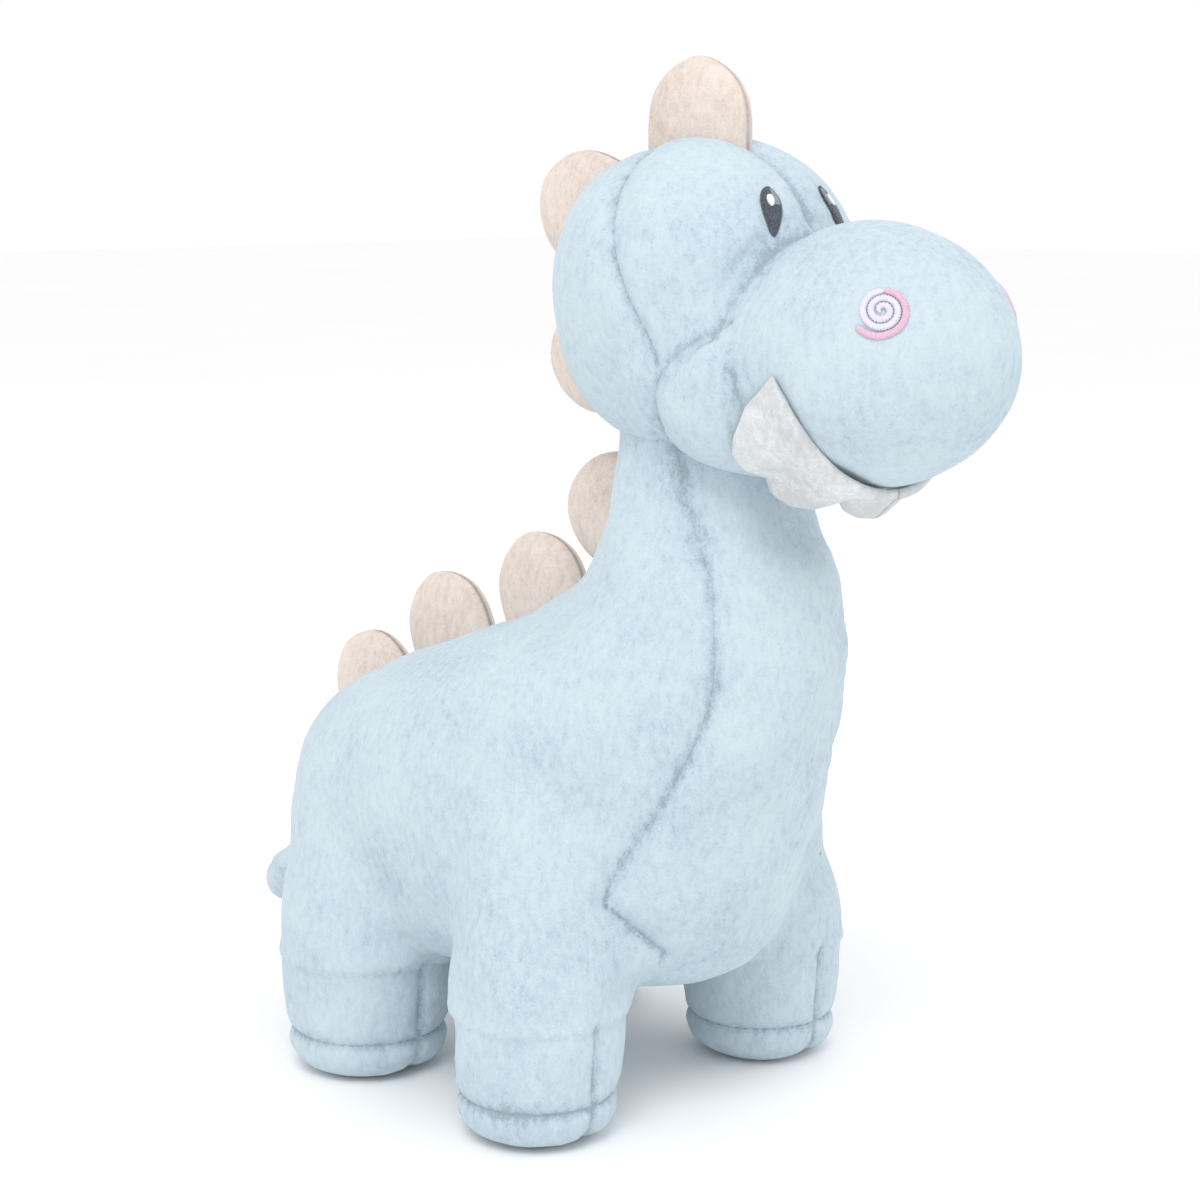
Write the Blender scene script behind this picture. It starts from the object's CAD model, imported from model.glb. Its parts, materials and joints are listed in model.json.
"""Stuffed long-necked dinosaur: short-pile covers, padded spikes, embroidered face.

Metres, in the CAD frame: +Z up, the dinosaur looks along -Y, its left side is +X.
The form functions work in millimetres on (side, ahead, height), where ahead is -Y.
"""
import json
import math

import bpy
import numpy as np
import openvdb
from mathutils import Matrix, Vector, noise
from mathutils.bvhtree import BVHTree
from mathutils.kdtree import KDTree


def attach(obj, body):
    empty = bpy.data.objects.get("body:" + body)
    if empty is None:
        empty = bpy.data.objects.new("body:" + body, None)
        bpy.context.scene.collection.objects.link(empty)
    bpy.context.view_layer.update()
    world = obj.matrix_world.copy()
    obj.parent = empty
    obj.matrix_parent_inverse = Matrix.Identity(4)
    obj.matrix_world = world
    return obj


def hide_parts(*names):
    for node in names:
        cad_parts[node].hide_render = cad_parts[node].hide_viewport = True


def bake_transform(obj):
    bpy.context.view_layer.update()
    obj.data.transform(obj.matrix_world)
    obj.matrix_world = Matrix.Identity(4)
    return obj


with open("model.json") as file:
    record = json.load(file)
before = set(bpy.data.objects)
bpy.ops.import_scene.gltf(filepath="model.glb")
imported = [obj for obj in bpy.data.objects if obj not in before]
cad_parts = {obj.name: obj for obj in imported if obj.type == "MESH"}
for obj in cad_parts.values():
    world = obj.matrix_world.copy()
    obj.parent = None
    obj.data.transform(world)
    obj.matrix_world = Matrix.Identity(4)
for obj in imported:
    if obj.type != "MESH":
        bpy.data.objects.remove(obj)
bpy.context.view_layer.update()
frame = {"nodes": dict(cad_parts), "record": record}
MM = 0.001

# ------------------------------------------------------------ forms, in millimetres

# height, rearmost and foremost edge (ahead), half width
LEVELS = np.array([
    (35, -47, 27, 25), (39, -71, 49, 41), (47, -87, 63, 53), (61, -98, 72, 61),
    (79, -102, 78, 65), (97, -96, 83, 66), (112, -79, 87, 63), (125, -53, 89, 57),
    (136, -25, 90, 50), (147, 1, 89, 43), (159, 15, 88, 36.5), (173, 21, 83, 31),
    (189, 23, 77.5, 27), (213, 24, 74, 25)], float)
SLOPES = np.gradient(LEVELS[:, 1:], LEVELS[:, 0], axis=0)

LEGS = {  # side, ahead, radius at the sole, radius at the top
    "front_right": (-48.5, 30, 22, 24), "front_left": (48.5, 30, 22, 24),
    "rear_right": (-45, -47, 23, 25.5), "rear_left": (45, -47, 23, 25.5)}
SOLE_LINE, SOLE_DROP, LEG_TOP, LEG_RING = 12.5, 13.5, 53, 58
HIP_PAD = dict(height=62, tall=46, inset=3, less=1.5)
SOLE_MORE = 1.3
FADE_FROM, SHANK_END = 34, 80
TAIL = dict(ahead=-84, height=60, slope=math.radians(30), long=62, root=18, tip=8, ring=19)
BELLY_HALF, BELLY_LINE = 26, 52
BIB_LINES = np.array([(0, BELLY_HALF), (BELLY_LINE, BELLY_HALF), (70, 44), (127, 29),
                      (190, 23.3), (205, 22)], float)  # height, half width
BIB_AHEAD = 48
LEG_SEAM_TOP = 36
COVER_THICK = 1.4
NO_SEAM = 99.0
# centre and half sizes
SKULL = ((0, 49, 241), (42.6, 41.6, 37.6))
NAPE = ((0, 47, 219), (35, 33, 30))
MUZZLE = ((0, 106, 221), (36, 41, 35.2))
CHIN = ((0, 74.6, 211.4), (37.5, 26.6, 24))
FACE_SEAM = (58, 232, math.radians(22))  # ahead, height, lean


def hermite(height):
    """Rear edge, front edge and half width at each height, and how fast they change."""
    h = np.clip(height, LEVELS[0, 0], LEVELS[-1, 0])
    i = np.clip(np.searchsorted(LEVELS[:, 0], h) - 1, 0, len(LEVELS) - 2)
    step = (LEVELS[i + 1, 0] - LEVELS[i, 0])[..., None]
    t = ((h - LEVELS[i, 0]))[..., None] / step
    a, b = LEVELS[i, 1:], LEVELS[i + 1, 1:]
    da, db = SLOPES[i] * step, SLOPES[i + 1] * step
    value = ((2 * t**3 - 3 * t**2 + 1) * a + (t**3 - 2 * t**2 + t) * da
             + (3 * t**2 - 2 * t**3) * b + (t**3 - t**2) * db)
    rate = ((6 * t**2 - 6 * t) * (a - b) + (3 * t**2 - 4 * t + 1) * da
            + (3 * t**2 - 2 * t) * db) / step
    return value, rate


def soft_min(a, b, reach):
    """The nearer of two forms, run into each other where they are about as near."""
    overlap = np.maximum(reach - np.abs(a - b), 0) / reach
    return np.minimum(a, b) - overlap * overlap * reach / 4


def ellipsoid(p, centre, half):
    """Distance to an ellipsoid, close to true near its surface."""
    q = (p - np.array(centre, float)) / np.array(half, float)
    k0 = np.sqrt((q * q).sum(-1)) + 1e-9
    k1 = np.sqrt(((q / np.array(half, float)) ** 2).sum(-1)) + 1e-9
    return k0 * (k0 - 1) / k1


def trunk_field(p):
    """Distance to the stacked ellipses of LEVELS, with flat ends."""
    value, rate = hermite(p[..., 2])
    rear, front, b = value[..., 0], value[..., 1], value[..., 2]
    a, c = (front - rear) / 2, (front + rear) / 2
    da, dc, db = (rate[..., 1] - rate[..., 0]) / 2, (rate[..., 1] + rate[..., 0]) / 2, rate[..., 2]
    x, s = p[..., 0], p[..., 1] - c
    q = np.sqrt((x / b) ** 2 + (s / a) ** 2) + 1e-6
    qx, qs = x / b**2 / q, s / a**2 / q
    qz = -(x**2 / b**3 * db + s**2 / a**3 * da + s / a**2 * dc) / q
    inside = (p[..., 2] > LEVELS[0, 0]) & (p[..., 2] < LEVELS[-1, 0])
    d = (q - 1) / np.sqrt(qx**2 + qs**2 + np.where(inside, qz, 0) ** 2 + 1e-9)
    return np.maximum(d, np.maximum(LEVELS[0, 0] - p[..., 2], p[..., 2] - LEVELS[-1, 0]))


def leg_field(p, side, ahead, sole, top):
    """A round shank that fades out above the hip, standing on a sole with a rounded edge."""
    r = np.hypot(p[..., 0] - side, p[..., 1] - ahead)
    grow = np.clip((p[..., 2] - SOLE_LINE) / (LEG_TOP - SOLE_LINE), 0, 1.2)
    fade = 0.011 * np.maximum(p[..., 2] - FADE_FROM, 0) ** 2
    shank = np.maximum(r - (sole + (top - sole) * grow) + fade, p[..., 2] - SHANK_END)
    deep = np.maximum(SOLE_LINE - p[..., 2], 0)
    pad = (((r / sole) ** 3 + (deep / SOLE_DROP) ** 3) ** (1 / 3) - 1) * SOLE_DROP
    return np.where(p[..., 2] < SOLE_LINE, np.maximum(pad, -p[..., 2]), shank)


def tail_along(p):
    """Distance along the tail from its root, and distance from its axis."""
    s, z = p[..., 1] - TAIL["ahead"], p[..., 2] - TAIL["height"]
    along = -s * math.cos(TAIL["slope"]) - z * math.sin(TAIL["slope"])
    across = s * math.sin(TAIL["slope"]) - z * math.cos(TAIL["slope"])
    return along, np.hypot(p[..., 0], across)


def tail_field(p):
    along, away = tail_along(p)
    r = TAIL["root"] + (TAIL["tip"] - TAIL["root"]) * along / TAIL["long"]
    end = np.hypot(along - TAIL["long"], away) - TAIL["tip"]
    return np.where(along > TAIL["long"], end, np.maximum(away - r, -along))


def body_field(p):
    """Trunk and neck with four legs, each under a pad of filling at the hip, and the tail."""
    d = trunk_field(p)
    for side, ahead, sole, top in LEGS.values():
        spread = top - HIP_PAD["less"]
        inward = math.copysign(HIP_PAD["inset"], side)
        pad = ellipsoid(p, (side - inward, ahead, HIP_PAD["height"]),
                        (spread, spread, HIP_PAD["tall"]))
        leg = soft_min(pad, leg_field(p, side, ahead, sole + SOLE_MORE, spread), 16)
        d = soft_min(d, leg, 9)
    return soft_min(d, tail_field(p), 10)


def skull_field(p):
    return ellipsoid(p, *SKULL)


def muzzle_field(p):
    return ellipsoid(p, *MUZZLE)


def head_parts(p):
    back = soft_min(skull_field(p), ellipsoid(p, *NAPE), 16)
    return back, muzzle_field(p), ellipsoid(p, *CHIN)


def head_field(p):
    back, muzzle, chin = head_parts(p)
    return soft_min(soft_min(back, chin, 15), soft_min(muzzle, chin, 13), 7)


# ------------------------------------------------------------ meshes from the forms


def to_world(p):
    """Millimetres on side, ahead and height to metres in the CAD frame."""
    return np.stack([p[..., 0], -p[..., 1], p[..., 2]], -1) * MM


def vertex_normals(p, quads):
    a, b, c, d = (p[quads[:, k]] for k in range(4))
    face = np.cross(c - a, d - b)
    out = np.zeros_like(p)
    for k in range(4):
        np.add.at(out, quads[:, k], face)
    return out / (np.linalg.norm(out, axis=1, keepdims=True) + 1e-12)


def gradient(field, p):
    """The direction in which a field grows fastest, as unit vectors."""
    out = np.stack([field(p + e) - field(p - e) for e in np.eye(3) * 0.2], -1)
    return out / (np.linalg.norm(out, axis=1, keepdims=True) + 1e-12)


def relaxed(p, quads, rounds):
    """Each point moved halfway to the middle of its neighbours, several times."""
    edges = np.vstack([quads[:, [0, 1]], quads[:, [1, 2]], quads[:, [2, 3]], quads[:, [3, 0]]])
    count = np.bincount(edges[:, 0], minlength=len(p)).astype(float)[:, None]
    for _ in range(rounds):
        total = np.stack([np.bincount(edges[:, 0], p[edges[:, 1], k], minlength=len(p))
                          for k in range(3)], -1)
        p = p * 0.5 + total / count * 0.5
    return p


def mesh_of(field, low, high, pitch):
    """Quads on the surface where the field is nought, facing outward."""
    axes = [np.arange(lo, hi, pitch) for lo, hi in zip(low, high)]
    cells = np.stack(np.meshgrid(*axes, indexing="ij"), -1)
    values = np.concatenate([field(part) for part in np.array_split(cells, 12)])
    grid = openvdb.FloatGrid(100.0)
    grid.copyFromArray(values.astype(np.float32))
    p, quads = grid.convertToQuads(0.0)
    p = p.astype(float) * pitch + np.array([axis[0] for axis in axes])
    quads = quads.astype(int)
    for _ in range(3):
        p = relaxed(p, quads, 2)
        p -= gradient(field, p) * field(p)[:, None]
    if (vertex_normals(p, quads) * gradient(field, p)).sum() < 0:
        quads = quads[:, ::-1]
    return p, quads


def puffed(p, coarse, coarse_quads, pinned, slack, cap):
    """Inflate the coarse mesh as cloth held at its seams, and move the fine mesh with it."""
    me = bpy.data.meshes.new("puff")
    me.from_pydata((coarse * MM).tolist(), [], coarse_quads.tolist())
    ob = bpy.data.objects.new("puff", me)
    bpy.context.scene.collection.objects.link(ob)
    group = ob.vertex_groups.new(name="seams")
    for weight in np.unique(np.round(pinned, 2)):
        if weight > 0:
            chosen = np.nonzero(np.round(pinned, 2) == weight)[0]
            group.add(chosen.tolist(), float(weight), "REPLACE")
    cloth = ob.modifiers.new("cloth", "CLOTH")
    cloth.settings.quality = 5
    cloth.settings.use_pressure = True
    cloth.settings.uniform_pressure_force = 4
    cloth.settings.vertex_group_mass = "seams"
    cloth.settings.shrink_min = -slack
    cloth.settings.shrink_max = -slack
    cloth.settings.bending_stiffness = 0.8
    cloth.settings.effector_weights.gravity = 0
    cloth.collision_settings.use_self_collision = False
    for number in range(1, 21):
        bpy.context.scene.frame_set(number)
    view = ob.evaluated_get(bpy.context.evaluated_depsgraph_get())
    moved = np.zeros(len(coarse) * 3)
    view.data.vertices.foreach_get("co", moved)
    moved = moved.reshape(-1, 3) / MM - coarse
    bpy.context.scene.frame_set(1)
    bpy.data.objects.remove(ob)
    bpy.data.meshes.remove(me)
    far = np.linalg.norm(moved, axis=1, keepdims=True)
    moved *= np.minimum(1, cap / (far + 1e-9))
    tree = KDTree(len(coarse))
    for number, point in enumerate(coarse):
        tree.insert(point, number)
    tree.balance()
    out = p.copy()
    for number, point in enumerate(p):
        near = tree.find_n(point, 22)
        weights = np.array([math.exp(-(d / 6.5) ** 2) for _, _, d in near]) + 1e-9
        out[number] += weights @ moved[[k for _, k, _ in near]] / weights.sum()
    return out


def lumps(p, size, seed):
    """A smooth random number near each point, about -1 to 1."""
    offset = Vector((seed * 7.3, seed * 3.1, seed * 5.7))
    return np.array([noise.noise(Vector(point) / size + offset) for point in p])


# ------------------------------------------------------------ seams


def bib_half(height):
    """Half width of the chest and belly panel at each height."""
    return np.interp(height, BIB_LINES[:, 0], BIB_LINES[:, 1])


def in_bib(p):
    wide = np.abs(p[:, 0]) < bib_half(p[:, 2])
    return wide & ((p[:, 1] > BIB_AHEAD) | ((p[:, 2] < BELLY_LINE) & (np.abs(p[:, 0]) < BELLY_HALF)))


def leg_of(p):
    """Which leg each point belongs to, or -1."""
    out = np.full(len(p), -1)
    for number, (side, ahead, _, top) in enumerate(LEGS.values()):
        near = np.hypot(p[:, 0] - side, p[:, 1] - ahead) < top + 5
        out[near & (p[:, 2] < LEG_RING)] = number
    return out


def body_seams(p):
    """Distance from each point to the nearest seam on the body."""
    away = np.full(len(p), NO_SEAM)
    leg = leg_of(p)
    for number, (side, _, _, _) in enumerate(LEGS.values()):
        here = leg == number
        line = np.abs(p[here, 0] - side) + np.maximum(p[here, 2] - LEG_SEAM_TOP, 0) * 1.5
        away[here] = np.minimum(line, np.abs(p[here, 2] - SOLE_LINE))
    off = leg < 0
    chest = off & (p[:, 1] > BIB_AHEAD - 6) & (p[:, 2] > 50)
    away[chest] = np.abs(np.abs(p[chest, 0]) - bib_half(p[chest, 2])) * 0.93
    belly = off & (p[:, 2] <= BELLY_LINE) & (p[:, 1] <= BIB_AHEAD)
    away[belly] = np.abs(np.abs(p[belly, 0]) - BELLY_HALF)
    back = off & ~in_bib(p)
    away[back] = np.minimum(away[back], np.abs(p[back, 0]))
    return away


def head_seams(p):
    """Distance from each point to the nearest seam on the head."""
    back, muzzle, chin = head_parts(p)
    away = np.full(len(p), NO_SEAM)
    near = np.stack([back, muzzle, chin], -1)
    for i, j in ((0, 1), (0, 2), (1, 2)):
        pair = np.maximum(np.abs(near[:, i]), np.abs(near[:, j])) < 6
        faded = 0.0 if i == 0 else np.maximum(p[:, 2] - 218, 0) * 0.8
        line = np.abs(near[:, i] - near[:, j]) * 0.6 + faded
        away = np.where(pair, np.minimum(away, line), away)
    ahead, height, lean = FACE_SEAM
    plane = (p[:, 1] - ahead) * math.cos(lean) + (p[:, 2] - height) * math.sin(lean)
    on_back = (back < muzzle) & (back < chin)
    away = np.where(on_back, np.minimum(away, np.abs(plane)), away)
    return np.where(on_back, np.minimum(away, np.abs(p[:, 0])), away)


def sewn(p, quads, seams, seed, reach):
    """Draw the seams in, with the small puckers that the thread pulls beside them.

    Points near a seam move onto it first, so that it is one clean line of the mesh.
    """
    for _ in range(2):
        away = seams(p)
        out = vertex_normals(p, quads)
        slope = gradient(seams, p)
        slope -= out * (slope * out).sum(1, keepdims=True)
        slope /= np.linalg.norm(slope, axis=1, keepdims=True) + 1e-9
        p = p - slope * np.where(away < reach, away, 0)[:, None]
    away = seams(p)
    out = vertex_normals(p, quads)
    groove = -1.35 * np.exp(-away / 1.1) - 0.7 * np.exp(-(away / 5.5) ** 2)
    pucker = lumps(p, 4.6, seed) * 0.8 * np.exp(-(away / 8.0) ** 2) * (1 - np.exp(-(away / 2) ** 2))
    swell = lumps(p, 26.0, seed + 1) * 0.7 + lumps(p, 11.0, seed + 2) * 0.22
    move = groove + pucker + swell * (1 - np.exp(-(away / 9.0) ** 2))
    return p + out * move[:, None], np.exp(-away / 1.3)


# ------------------------------------------------------------ materials


def material(name, build):
    mat = bpy.data.materials.new(name)
    mat.use_nodes = True
    nodes, links = mat.node_tree.nodes, mat.node_tree.links
    shader = nodes["Principled BSDF"]
    build(nodes, links, shader)
    return mat


def noise_node(nodes, links, coords, scale, detail=2.0, rough=0.5, stretch=None):
    tex = nodes.new("ShaderNodeTexNoise")
    tex.inputs["Scale"].default_value = scale
    tex.inputs["Detail"].default_value = detail
    tex.inputs["Roughness"].default_value = rough
    if stretch:
        mapping = nodes.new("ShaderNodeMapping")
        mapping.inputs["Scale"].default_value = stretch
        links.new(coords, mapping.inputs["Vector"])
        coords = mapping.outputs["Vector"]
    links.new(coords, tex.inputs["Vector"])
    return tex.outputs["Fac"]


def math_node(nodes, links, operation, *values):
    node = nodes.new("ShaderNodeMath")
    node.operation = operation
    for socket, value in zip(node.inputs, values):
        if isinstance(value, (int, float)):
            socket.default_value = value
        else:
            links.new(value, socket)
    return node.outputs[0]


def ramp(nodes, links, fac, *stops):
    node = nodes.new("ShaderNodeValToRGB")
    while len(node.color_ramp.elements) < len(stops):
        node.color_ramp.elements.new(0.5)
    for element, (place, colour) in zip(node.color_ramp.elements, stops):
        element.position = place
        element.color = (*colour, 1)
    links.new(fac, node.inputs["Fac"])
    return node.outputs["Color"]


def pile(name, dark, mid, light, nap=1.0, bump=0.5):
    """Short brushed pile: mottled where the nap lies differently, with a fine streaky grain."""
    shade = tuple(0.72 * value for value in dark)

    def build(nodes, links, shader):
        coords = nodes.new("ShaderNodeTexCoord").outputs["Object"]
        patches = noise_node(nodes, links, coords, 42, 2.0, 0.5)
        streaks = noise_node(nodes, links, coords, 480, 4.0, 0.62, (1.0, 1.0, 0.5))
        grain = noise_node(nodes, links, coords, 1500, 2.0, 0.6)
        mixed = math_node(nodes, links, "ADD",
                          math_node(nodes, links, "MULTIPLY", patches, 0.30),
                          math_node(nodes, links, "ADD",
                                    math_node(nodes, links, "MULTIPLY", streaks, 0.45 * nap),
                                    math_node(nodes, links, "MULTIPLY", grain, 0.27 * nap)))
        line = nodes.new("ShaderNodeAttribute")
        line.attribute_name = "seam_line"
        mixed = math_node(nodes, links, "SUBTRACT", mixed,
                          math_node(nodes, links, "MULTIPLY", line.outputs["Fac"], 0.17))
        links.new(ramp(nodes, links, mixed, (0.30, shade), (0.42, dark), (0.52, mid), (0.66, light)),
                  shader.inputs["Base Color"])
        height = math_node(nodes, links, "ADD",
                           math_node(nodes, links, "MULTIPLY", streaks, 0.75),
                           math_node(nodes, links, "MULTIPLY", grain, 0.35))
        node = nodes.new("ShaderNodeBump")
        node.inputs["Strength"].default_value = bump
        node.inputs["Distance"].default_value = 0.0009
        links.new(height, node.inputs["Height"])
        links.new(node.outputs["Normal"], shader.inputs["Normal"])
        shader.inputs["Roughness"].default_value = 0.93
        shader.inputs["Specular IOR Level"].default_value = 0.18
        shader.inputs["Sheen Weight"].default_value = 0.35
        shader.inputs["Sheen Roughness"].default_value = 0.45
        shader.inputs["Sheen Tint"].default_value = (*light, 1)
    return material(name, build)


def thread(name, dark, light, rough=0.45):
    """Embroidery or sewing thread: fine twist lines along it and a soft shine."""
    def build(nodes, links, shader):
        coords = nodes.new("ShaderNodeTexCoord").outputs["Object"]
        twist = noise_node(nodes, links, coords, 2600, 2.0)
        links.new(ramp(nodes, links, twist, (0.35, dark), (0.65, light)),
                  shader.inputs["Base Color"])
        node = nodes.new("ShaderNodeBump")
        node.inputs["Strength"].default_value = 0.3
        node.inputs["Distance"].default_value = 0.0002
        links.new(twist, node.inputs["Height"])
        links.new(node.outputs["Normal"], shader.inputs["Normal"])
        shader.inputs["Roughness"].default_value = rough
        shader.inputs["Specular IOR Level"].default_value = 0.35
    return material(name, build)


def fluff(nodes, links, shader):
    coords = nodes.new("ShaderNodeTexCoord").outputs["Object"]
    tufts = noise_node(nodes, links, coords, 300, 5.0, 0.7)
    links.new(ramp(nodes, links, tufts, (0.3, (0.62, 0.62, 0.62)), (0.7, (0.9, 0.9, 0.88))),
              shader.inputs["Base Color"])
    node = nodes.new("ShaderNodeBump")
    node.inputs["Strength"].default_value = 0.8
    node.inputs["Distance"].default_value = 0.002
    links.new(tufts, node.inputs["Height"])
    links.new(node.outputs["Normal"], shader.inputs["Normal"])
    shader.inputs["Roughness"].default_value = 0.95


BLUE = pile("blue_pile", (0.455, 0.555, 0.625), (0.520, 0.618, 0.678), (0.575, 0.665, 0.715))
TAUPE = pile("taupe_pile", (0.62, 0.53, 0.47), (0.70, 0.61, 0.55), (0.77, 0.69, 0.63))
WHITE = pile("white_felt", (0.755, 0.775, 0.785), (0.785, 0.80, 0.81), (0.815, 0.83, 0.84), 0.5, 0.2)
EYE_DARK = thread("eye_dark_thread", (0.045, 0.055, 0.075), (0.12, 0.135, 0.165), 0.35)
EYE_GREY = thread("eye_grey_thread", (0.22, 0.24, 0.28), (0.36, 0.38, 0.43), 0.35)
EYE_WHITE = thread("eye_white_thread", (0.80, 0.81, 0.84), (0.92, 0.93, 0.95), 0.4)
NOSE_PALE = thread("nostril_pale_thread", (0.66, 0.64, 0.74), (0.76, 0.74, 0.83), 0.5)
NOSE_PINK = thread("nostril_pink_thread", (0.64, 0.40, 0.52), (0.76, 0.54, 0.66), 0.5)
SEWING = thread("sewing_thread", (0.27, 0.36, 0.45), (0.38, 0.47, 0.56), 0.5)
FLUFF = material("fibre_filling_look", fluff)

# ------------------------------------------------------------ pieces


def make(name, points, faces, mat):
    me = bpy.data.meshes.new(name)
    me.from_pydata(np.asarray(points, float).tolist(), [], [list(map(int, f)) for f in faces])
    me.validate()
    me.polygons.foreach_set("use_smooth", [True] * len(me.polygons))
    me.materials.append(mat)
    ob = bpy.data.objects.new(name, me)
    bpy.context.scene.collection.objects.link(ob)
    return ob


def shell(name, points, normals, seam_line, quads, mat):
    """A closed panel of fabric: the outer skin, the same skin one thickness in, and its edge."""
    used, local = np.unique(quads, return_inverse=True)
    local = local.reshape(quads.shape)
    count = len(used)
    outer, out = points[used], normals[used]
    sides = np.vstack([local[:, [k, (k + 1) % 4]] for k in range(4)])
    keys = np.sort(sides, 1) @ np.array([count, 1])
    _, index, times = np.unique(keys, return_index=True, return_counts=True)
    rim = sides[index[times == 1]]
    rim = np.stack([rim[:, 1], rim[:, 0], rim[:, 0] + count, rim[:, 1] + count], -1)
    faces = np.vstack([local, local[:, ::-1] + count, rim])
    ob = make(name, np.vstack([outer, outer - out * COVER_THICK * MM]), faces, mat)
    ob.data.normals_split_custom_set_from_vertices(np.vstack([out, -out]).tolist())
    line = ob.data.attributes.new("seam_line", "FLOAT", "POINT")
    line.data.foreach_set("value", np.tile(seam_line[used], 2).astype(np.float32))
    return ob


def finished(ob, nodes, body=None, blend=None):
    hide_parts(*nodes)
    if blend:
        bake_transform(ob)
    else:
        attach(ob, body)
    return ob


def at(side, ahead, height):
    return Vector((side, -ahead, height)) * MM


# ------------------------------------------------------------ body skin

# above the feet the skin starts this much small, because the padding swells it
SNUG = 1.5
FOOT_HELD, NECK_HELD = 14, 190  # the cloth is held below the one height and above the other


def snug_body(p):
    return body_field(p) + SNUG * np.clip((p[..., 2] - 25) / 40, 0, 1)


def snug_head(p):
    return head_field(p) + SNUG * 0.8


low, high = (-76, -160, -4), (76, 96, 218)
body, body_quads = mesh_of(snug_body, low, high, 1.7)
rough, rough_quads = mesh_of(snug_body, low, high, 4.2)
hold = np.exp(-(body_seams(rough) / 3.0) ** 2)
hold[(rough[:, 2] < FOOT_HELD) | (rough[:, 2] > NECK_HELD)] = 1
body = puffed(body, rough, rough_quads, hold, 0.03, 2.6)
body, body_line = sewn(body, body_quads, body_seams, 1, 0.9)
body[:, 2] -= body[:, 2].min() * np.clip(1 - body[:, 2] / FOOT_HELD, 0, 1)
body[:, 2] = np.maximum(body[:, 2], 0.0)
body_out = to_world(vertex_normals(body, body_quads)) / MM

middle = body[body_quads].mean(1)
leg_number = leg_of(middle)
along, _ = tail_along(middle)
near_tail = (np.abs(middle[:, 0]) < 26) & (middle[:, 2] < 75)
on_tail = (along > TAIL["ring"]) & (leg_number < 0) & near_tail
bib = in_bib(middle) & (leg_number < 0) & ~on_tail
world = to_world(body)
flip = body_quads[:, ::-1]  # the mirrored axis turns the faces over
NECK_BEND = ("trunk", "neck", at(0, 52, 126), at(0, 52, 166))


def body_panel(name, mask, nodes, blend):
    ob = shell(name, world, body_out, body_line, flip[mask], BLUE)
    return finished(ob, nodes, blend=blend)


body_panel("chest_panel", bib, ["chest_belly_panel", "throat_panel"], NECK_BEND)
for side, sign in (("right", -1), ("left", 1)):
    own = (np.sign(middle[:, 0]) == sign) & ~bib & (leg_number < 0) & ~on_tail
    body_panel(f"side_cover_{side}", own, [f"side_panel_{side}", f"neck_panel_{side}"], NECK_BEND)
tail_dir = at(0, -math.cos(TAIL["slope"]), -math.sin(TAIL["slope"])) / MM
tail_root = at(0, TAIL["ahead"], TAIL["height"])
body_panel("tail_skin", on_tail, ["tail_cover"],
           ("trunk", "tail", tail_root + tail_dir * 0.018, tail_root + tail_dir * 0.042))
for number, (key, (side, ahead, _, _)) in enumerate(LEGS.items()):
    name = f"{key}_leg"
    here = leg_number == number
    sole = here & (middle[:, 2] < SOLE_LINE)
    outer = np.abs(middle[:, 0]) > abs(side)
    bend = ("trunk", name, at(side, ahead, 47), at(side, ahead, 18))
    body_panel(f"{name}_outer", here & ~sole & outer, [f"{name}_outer_panel"], bend)
    body_panel(f"{name}_inner", here & ~sole & ~outer, [f"{name}_inner_panel"], bend)
    body_panel(f"{name}_sole_pad", sole, [f"{name}_sole"], bend)

# ------------------------------------------------------------ head skin

low, high = (-50, -2, 180), (50, 152, 284)
skin, skin_quads = mesh_of(snug_head, low, high, 1.5)
rough, rough_quads = mesh_of(snug_head, low, high, 4.0)
hold = np.exp(-(head_seams(rough) / 3.0) ** 2)
skin = puffed(skin, rough, rough_quads, hold, 0.03, 2.2)
skin, skin_line = sewn(skin, skin_quads, head_seams, 5, 0.8)
skin_out = to_world(vertex_normals(skin, skin_quads)) / MM
middle = skin[skin_quads].mean(1)
back, muzzle, chin = head_parts(middle)
ahead, height, lean = FACE_SEAM
face_side = (middle[:, 1] - ahead) * math.cos(lean) + (middle[:, 2] - height) * math.sin(lean) > 0
NAPE_KIND, BROW_KIND, JAW_KIND, SNOUT_KIND = range(4)
kind = np.where(face_side, BROW_KIND, NAPE_KIND)
kind = np.where(chin < back, JAW_KIND, kind)
kind = np.where((muzzle < back) & (muzzle < chin), SNOUT_KIND, kind)
world_head = to_world(skin)
flip_head = skin_quads[:, ::-1]
HEAD_BVH = BVHTree.FromPolygons(world_head.tolist(), flip_head.tolist())


def head_panel(name, mask, nodes):
    ob = shell(name, world_head, skin_out, skin_line, flip_head[mask], BLUE)
    return finished(ob, nodes, "head")


for side, sign in (("right", -1), ("left", 1)):
    own = np.sign(middle[:, 0]) == sign
    head_panel(f"nape_cover_{side}", own & (kind == NAPE_KIND), [f"head_back_{side}"])
    head_panel(f"brow_cover_{side}", own & (kind == BROW_KIND), [f"face_{side}"])
head_panel("snout_cover", kind == SNOUT_KIND, ["muzzle_cover_right", "muzzle_cover_left"])
head_panel("jaw_cover", kind == JAW_KIND, ["chin_cover"])

# ------------------------------------------------------------ fillings

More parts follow.
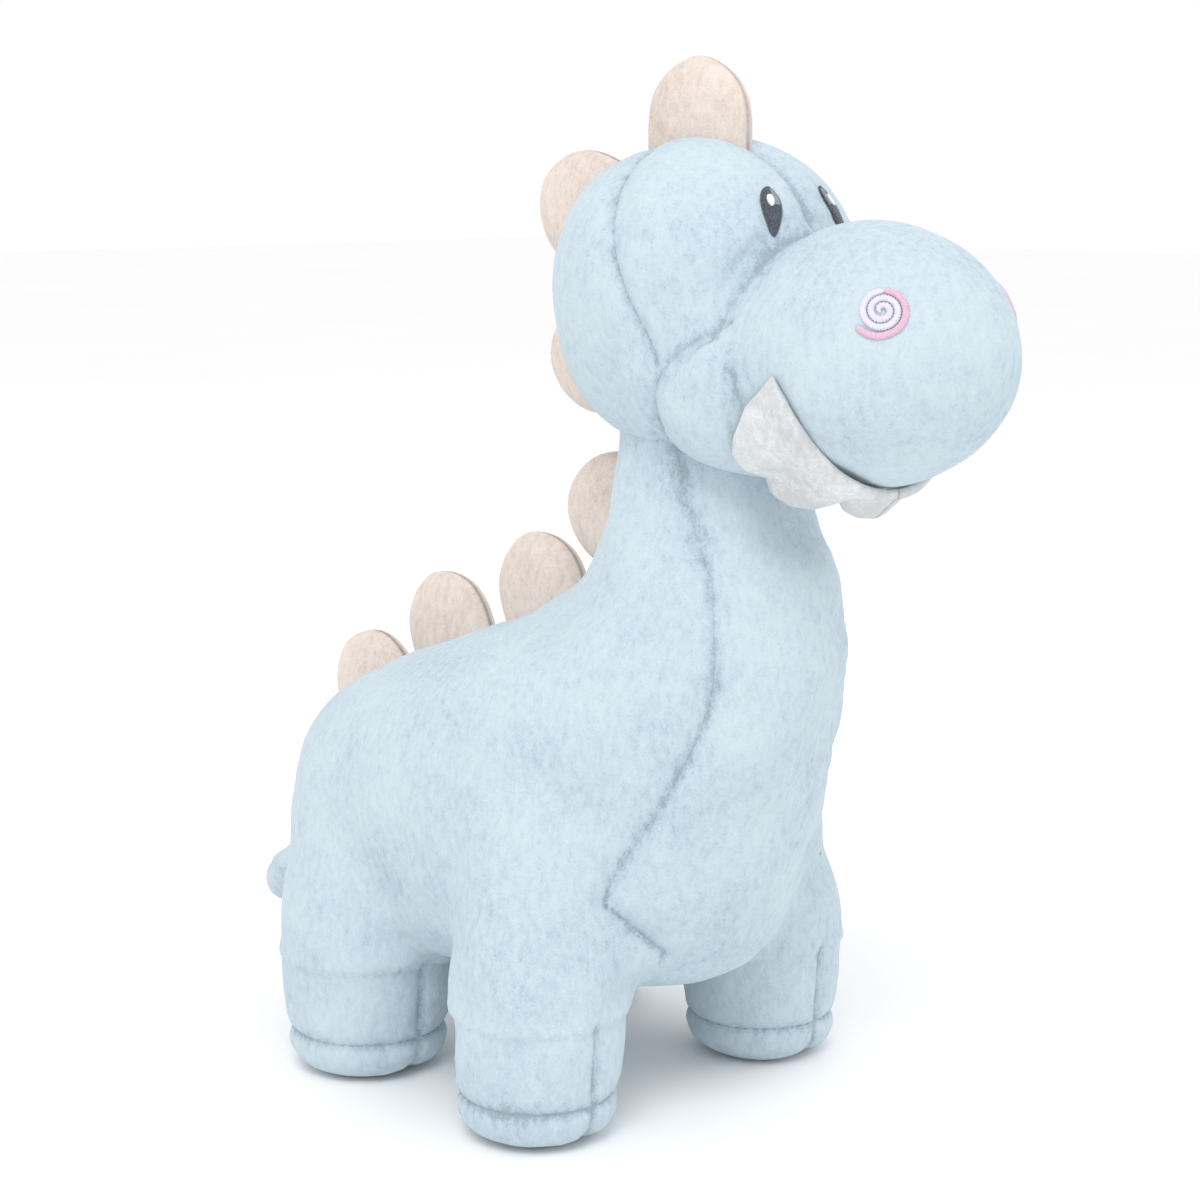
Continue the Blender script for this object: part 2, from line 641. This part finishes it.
# loose fibre, a little smaller than the room inside the covers: how far in, in millimetres
WAD_GAP = {"neck_filling": 8.0, "tail_filling": 5.0}
WAD_GAP_ELSEWHERE = 3.2
for body_name, members in frame["record"]["behaviour"]["bodies"].items():
    for node_name in members:
        if not node_name.endswith("filling"):
            continue
        wad = bpy.data.objects.new("wad", frame["nodes"][node_name].data.copy())
        bpy.context.scene.collection.objects.link(wad)
        grid = wad.modifiers.new("grid", "REMESH")
        grid.mode, grid.voxel_size = "VOXEL", 3.6 * MM
        pull = wad.modifiers.new("pull", "DISPLACE")
        pull.strength, pull.mid_level = -WAD_GAP.get(node_name, WAD_GAP_ELSEWHERE) * MM, 0
        ease = wad.modifiers.new("ease", "SMOOTH")
        ease.factor, ease.iterations = 0.5, 4
        me = bpy.data.meshes.new_from_object(wad.evaluated_get(bpy.context.evaluated_depsgraph_get()))
        bpy.data.objects.remove(wad)
        loose = bpy.data.objects.new(node_name.replace("filling", "fibre"), me)
        bpy.context.scene.collection.objects.link(loose)
        me.materials.clear()
        me.materials.append(FLUFF)
        me.polygons.foreach_set("use_smooth", [True] * len(me.polygons))
        finished(loose, [node_name], body_name)

# ------------------------------------------------------------ spikes

SPIKES = {  # ahead, height, lean, how tall, body
    "spike_crown": (46, 278, 0, 21.5, "head"), "spike_head_upper": (10, 254.5, 68, 26, "head"),
    "spike_head_lower": (15, 217, 96, 26, "head"), "spike_neck": (22, 171, 88, 26, "neck"),
    "spike_shoulder": (-14, 140.5, 22, 22, "trunk"), "spike_back": (-55, 124, 25, 22, "trunk"),
    "spike_rump": (-90, 102, 46, 21.5, "trunk")}


def spike(name, ahead, height, lean, tall, body_name, seed):
    """Two sheets of pile sewn round a rounded plate and stuffed, standing in the back seam."""
    half_long, sunk, thick, seam = 17.5, 8.0, 6.8, 0.35
    rise = np.concatenate([np.linspace(-sunk, 0, 8)[:-1],
                           tall * np.sin(np.linspace(0, math.pi / 2, 22))])
    across = 25
    points, faces = [], []
    for v in rise:
        share = max(v, 0) / tall
        half = half_long * max(1 - share**3, 0) ** 0.68 + 0.02
        for face in (1, -1):
            for k in range(across):
                u = -math.cos(math.pi * k / (across - 1))
                edge = 1 - abs(u) ** 2.6
                t = thick * edge**0.5 * max(1 - share**2.4, 0.0) ** 0.5
                bump = noise.noise(Vector((u * 4, v / 4, seed * 9.1 + face))) * 0.35 * edge
                points.append((face * (t + seam * (edge > 0) + bump), u * half, v))
    row = 2 * across
    for i in range(len(rise) - 1):
        for f in range(2):
            for k in range(across - 1):
                a = i * row + f * across + k
                quad = (a, a + 1, a + 1 + row, a + row)
                faces.append(quad if f == 0 else quad[::-1])
        for k, f in ((0, 0), (across - 1, 1)):
            a, b = i * row + k, i * row + across + k
            quad = (a, a + row, b + row, b)
            faces.append(quad if f == 0 else quad[::-1])
    top = (len(rise) - 1) * row
    for k in range(across - 1):
        faces.append((top + k, top + k + 1, top + across + k + 1, top + across + k))
        faces.append((k + 1, k, across + k, across + k + 1))
    tilt = math.radians(lean)
    out = []
    for x, u, v in points:
        s = ahead + u * math.cos(tilt) - v * math.sin(tilt)
        z = height + u * math.sin(tilt) + v * math.cos(tilt)
        out.append((x * MM, -s * MM, z * MM))
    ob = make(f"{name}_pad", out, faces, TAUPE)
    finished(ob, [name], body_name)


for number, (name, spec) in enumerate(SPIKES.items()):
    spike(name, *spec, number)

# ------------------------------------------------------------ thread and teeth


def settle(field, points, lift):
    """Points moved onto the finished skin, that far above it, and the outward directions."""
    p = np.array(points, float)
    for _ in range(4):
        p -= gradient(field, p) * field(p)[:, None]
    out = gradient(field, p)
    for number, (point, way) in enumerate(zip(p, out)):
        origin, aim = to_world(point + way * 8), to_world(-way) / MM
        place, _, _, _ = HEAD_BVH.ray_cast(Vector(origin), Vector(aim).normalized())
        if place is not None:
            p[number] = (place.x / MM, -place.y / MM, place.z / MM)
    return p + out * lift, out


def ribbons(name, runs, mat, sides=8):
    """One mesh of raised threads. Each run is (points, outward directions, widths, heights)."""
    verts, faces = [], []
    for points, out, widths, heights in runs:
        along = np.gradient(points, axis=0)
        across = np.cross(along, out)
        across /= np.linalg.norm(across, axis=1, keepdims=True) + 1e-9
        first = len(verts)
        for p, n, b, w, h in zip(points, out, across, widths, heights):
            for k in range(sides):
                turn = 2 * math.pi * k / sides
                verts.append(p + b * w * math.cos(turn) + n * h * math.sin(turn))
        for i in range(len(points) - 1):
            for k in range(sides):
                a, b = first + i * sides + k, first + i * sides + (k + 1) % sides
                faces.append((a, b, b + sides, a + sides))
        last = len(verts) - sides
        faces.append(tuple(range(first, first + sides))[::-1])
        faces.append(tuple(range(last, last + sides)))
    return make(name, to_world(np.array(verts)), [f[::-1] for f in faces], mat)


def ends_in(count, full, tip=0.25):
    """Widths along a stitch: full in the middle, drawn in at both ends."""
    return full * (tip + (1 - tip) * np.sin(np.linspace(0, math.pi, count)) ** 0.5)


def lengths(points):
    """Distance along a line from its start to each of its points."""
    return np.concatenate([[0], np.cumsum(np.linalg.norm(np.diff(points, axis=0), axis=1))])


def dashes(name, points, out, mat, dash=2.1, gap=0.8, width=0.38, sink=0.25):
    """A row of stitches along a line of points on a seam."""
    steps = lengths(points)
    runs = []
    for start in np.arange(0.3, steps[-1] - dash, dash + gap):
        places = np.linspace(start, start + dash, 6)
        p = np.stack([np.interp(places, steps, points[:, k]) for k in range(3)], -1)
        n = np.stack([np.interp(places, steps, out[:, k]) for k in range(3)], -1)
        arch = np.sin(np.linspace(0, math.pi, 6)) * 0.35 - sink
        runs.append((p + n * arch[:, None], n, ends_in(6, width, 0.5), ends_in(6, width, 0.5)))
    return ribbons(name, runs, mat, 6)


def onto(bvh, origins, directions):
    """Where rays from outside meet the finished skin, in millimetres, and the skin's normals."""
    found, out = [], []
    for origin, direction in zip(to_world(np.array(origins, float)),
                                 to_world(np.array(directions, float)) / MM):
        place, normal, _, _ = bvh.ray_cast(Vector(origin), Vector(direction).normalized())
        if place is not None:
            found.append((place.x / MM, -place.y / MM, place.z / MM))
            out.append((normal.x, -normal.y, normal.z))
    return np.array(found), np.array(out)


BODY_BVH = BVHTree.FromPolygons(world.tolist(), flip.tolist())


def along_line(points, spacing):
    """The same line with a point at every spacing."""
    points = np.array(points, float)
    steps = lengths(points)
    places = np.linspace(0, steps[-1], max(int(steps[-1] / spacing), 2))
    return np.stack([np.interp(places, steps, points[:, k]) for k in range(3)], -1)


# stitches that show: the lower chest seam, and round each sole
for side, sign in (("right", -1), ("left", 1)):
    heights = np.arange(54, 112, 1.0)
    places, out = onto(BODY_BVH, [(sign * bib_half(h), 150, h) for h in heights],
                       [(0, -1, 0)] * len(heights))
    ob = dashes(f"chest_stitches_{side}", places, out, SEWING, width=0.22, sink=0.4)
    finished(ob, [], blend=NECK_BEND)

for key, (side, ahead, _, _) in LEGS.items():
    turns = np.linspace(0, 2 * math.pi, 120)
    ring = [(side + 45 * math.cos(t), ahead + 45 * math.sin(t), SOLE_LINE) for t in turns]
    places, out = onto(BODY_BVH, ring, [(-math.cos(t), -math.sin(t), 0) for t in turns])
    ob = dashes(f"{key}_sole_stitches", places, out, SEWING, width=0.24, sink=0.3)
    finished(ob, [], f"{key}_leg")


def tooth_row(side, sign):
    """Three scallops on one strip: its top edge is in the mouth seam, and it lies on the jaw."""
    top = [(35.4, 104, 217.5), (35.0, 107, 212.5), (33.6, 109, 208), (31, 110.8, 203.8),
           (28.1, 112.2, 199.7), (25, 113.3, 196.5), (21.8, 114, 193.9), (15, 115.3, 190.4),
           (8, 116, 188.2), (0.4, 116.4, 187.4)]
    scallops = [  # sharp corners where two scallops meet
        [(35.6, 103.5, 217.5), (34.9, 99.9, 214.3), (32.6, 92.8, 209.6), (30.6, 86.7, 202.3),
         (28.3, 84.2, 197.6), (24.2, 83.4, 193.0), (20.2, 87.6, 190.2)],
        [(20.2, 87.6, 190.2), (18.8, 88.6, 185.0), (16.8, 92.6, 182.4), (14.4, 97.4, 181.9),
         (11.8, 101.4, 183.6), (10.8, 104.2, 185.4)],
        [(10.8, 104.2, 185.4), (9.0, 104.6, 181.8), (5.4, 106.4, 179.6), (0.3, 107.4, 179.0)]]
    bottom = np.vstack([along_line(part, 1.0) for part in scallops])
    top = along_line(top, 0.5)
    count = len(bottom)
    share = np.linspace(0, 1, count)
    places = np.linspace(0, 1, len(top))
    top = np.stack([np.interp(share, places, top[:, k]) for k in range(3)], -1)
    rows, thick, lift = 15, 2.4, 0.5
    down = np.linspace(0, 1, rows)[:, None, None]
    mesh = top[None] * (1 - down) + bottom[None] * down
    p = mesh.reshape(-1, 3)
    for _ in range(3):
        p = p + gradient(head_field, p) * np.maximum(lift - head_field(p), 0)[:, None]
    out = gradient(head_field, p)
    rim = np.minimum(1, (1 - down) * 5) * np.ones((1, count, 1))
    ends = np.minimum(1, share * 9 + 0.02)[None, :, None]
    puff = (thick * np.sqrt(np.clip(rim * ends, 0, 1)) + 0.1).reshape(-1)
    front = p + out * puff[:, None]
    front[:count] -= out[:count] * (puff[:count, None] * 0.6)
    verts = np.vstack([front, p - out * 0.15])
    verts[:, 0] *= sign
    faces = []
    for i in range(rows - 1):
        for k in range(count - 1):
            a = i * count + k
            quad = (a, a + 1, a + 1 + count, a + count)
            faces += [quad, tuple(v + rows * count for v in quad[::-1])]
    loop = (list(range(count)) + [i * count + count - 1 for i in range(1, rows)]
            + [(rows - 1) * count + k for k in range(count - 2, -1, -1)]
            + [i * count for i in range(rows - 2, 0, -1)])
    for a, b in zip(loop, loop[1:] + loop[:1]):
        faces.append((b, a, a + rows * count, b + rows * count))
    if sign < 0:
        faces = [f[::-1] for f in faces]
    ob = make(f"tooth_scallops_{side}", to_world(verts), faces, WHITE)
    finished(ob, [f"teeth_{side}"], "head")


def eye(side, sign):
    """Satin stitch across an almond, with a pale glint near its top."""
    centre, tall, wide = np.array([sign * 13.0, 83.4, 258.6]), 7.4, 3.8
    centre, out = settle(skull_field, centre[None], 0.0)
    centre, out = centre[0], out[0]
    up = np.array([-sign * 0.12, 0, 1.0])
    up -= out * (up @ out)
    up /= np.linalg.norm(up)
    right = np.cross(up, out)

    def half(v):
        return wide * (1 - abs(v) ** (2.2 if v > 0 else 1.7)) ** 0.6 * (0.86 + 0.14 * v)

    def row(v, a, b, height, thick):
        u = np.linspace(a, b, 9)
        points, n = settle(skull_field, centre + up * v * tall + right * u[:, None], height)
        arch = np.sin(np.linspace(0, math.pi, 9))[:, None] ** 0.6
        return points + n * 0.25 * arch, n, ends_in(9, thick), ends_in(9, thick * 0.9)

    dark, pale, white = [], [], []
    for v in np.arange(-0.97, 0.98, 0.052):
        w = half(v)
        dark.append(row(v, -w, w, 0.25, 0.30))
        if 0.18 < v < 0.9:
            inner, outer = (-0.8, -0.05) if sign < 0 else (0.05, 0.8)
            pale.append(row(v, inner * w, outer * w, 0.55, 0.24))
        if 0.12 < v < 0.58:
            reach = 1.25 * math.sqrt(1 - ((v - 0.35) / 0.24) ** 2 * 0.98)
            white.append(row(v, 0.35 - reach, 0.35 + reach, 0.85, 0.26))
    for runs, label, mat in ((dark, "pupil", EYE_DARK), (pale, "iris", EYE_GREY),
                             (white, "glint", EYE_WHITE)):
        ob = ribbons(f"eye_{label}_{side}", runs, mat, 6)
        finished(ob, [f"eye_{side}"] if label == "pupil" else [], "head")


def nostril(side, sign):
    """A raised satin cord wound in a spiral, whose outer turn is pink."""
    centre, out = settle(muzzle_field, np.array([[sign * 25.3, 129.6, 234.4]]), 0.0)
    centre, out = centre[0], out[0]
    up = np.array([0, 0, 1.0]) - out * out[2]
    up /= np.linalg.norm(up)
    right = np.cross(up, out) * sign
    for label, start, end, mat in (("inner", 0.0, 2.4, NOSE_PALE),
                                   ("outer", 2.4, 3.05, NOSE_PINK)):
        turns = np.linspace(start, end, int((end - start) * 210))
        reach = 0.5 + 2.0 * turns
        reach += np.maximum(turns - 2.85, 0) * 4
        angle = 2 * math.pi * (turns + 0.36)
        flat = centre + (right * (np.cos(angle) * reach)[:, None]
                         - up * (np.sin(angle) * reach)[:, None])
        points, n = settle(muzzle_field, flat, 0.25)
        steps = lengths(points)
        from_end = np.minimum(steps, steps[-1] - steps)
        thick = 1 + 0.13 * np.sin(steps * 2 * math.pi / 0.62)
        thick *= np.minimum(1, 0.35 + from_end * (0.5 if label == "inner" else 1.2))
        cord = (points, n, 0.93 * thick, 0.75 * thick)
        ob = ribbons(f"nostril_{label}_{side}", [cord], mat, 10)
        finished(ob, [f"nostril_{side}"] if label == "inner" else [], "head")


for side, sign in (("right", -1), ("left", 1)):
    tooth_row(side, sign)
    eye(side, sign)
    nostril(side, sign)

# ------------------------------------------------------------ studio

floor_me = bpy.data.meshes.new("floor")
floor_me.from_pydata([(-6, -6, 0), (6, -6, 0), (6, 6, 0), (-6, 6, 0)], [], [(0, 1, 2, 3)])
floor = bpy.data.objects.new("floor", floor_me)
bpy.context.scene.collection.objects.link(floor)


def floor_look(nodes, links, shader):
    coords = nodes.new("ShaderNodeTexCoord").outputs["Object"]
    links.new(ramp(nodes, links, noise_node(nodes, links, coords, 3),
                   (0.3, (0.965, 0.965, 0.97)), (0.7, (0.98, 0.98, 0.985))),
              shader.inputs["Base Color"])
    shader.inputs["Roughness"].default_value = 0.7


floor_me.materials.append(material("pale_floor", floor_look))

world_look = bpy.data.worlds.new("studio")
world_look.use_nodes = True
world_look.node_tree.nodes["Background"].inputs["Color"].default_value = (1.0, 1.0, 1.0, 1)
world_look.node_tree.nodes["Background"].inputs["Strength"].default_value = 1.0
bpy.context.scene.world = world_look


def area_light(name, place, aim, size, power):
    data = bpy.data.lights.new(name, "AREA")
    data.shape, data.size, data.energy = "DISK", size, power
    ob = bpy.data.objects.new(name, data)
    ob.location = place
    ob.rotation_euler = (Vector(aim) - Vector(place)).to_track_quat("-Z", "Y").to_euler()
    bpy.context.scene.collection.objects.link(ob)


area_light("key", (-0.9, -0.6, 1.5), (0, 0, 0.15), 0.9, 10)
area_light("fill", (1.3, -0.9, 0.9), (0, 0, 0.12), 1.2, 2)

camera = bpy.data.objects.new("camera", bpy.data.cameras.new("camera"))
camera.location = (-0.5219, -0.5126, 0.2712)
camera.rotation_euler = Vector((0.7081, 0.6847, -0.1726)).to_track_quat("-Z", "Y").to_euler()
camera.data.sensor_width = 36
camera.data.lens = 75.2
bpy.context.scene.collection.objects.link(camera)
bpy.context.scene.camera = camera
bpy.context.scene.view_settings.view_transform = "Standard"
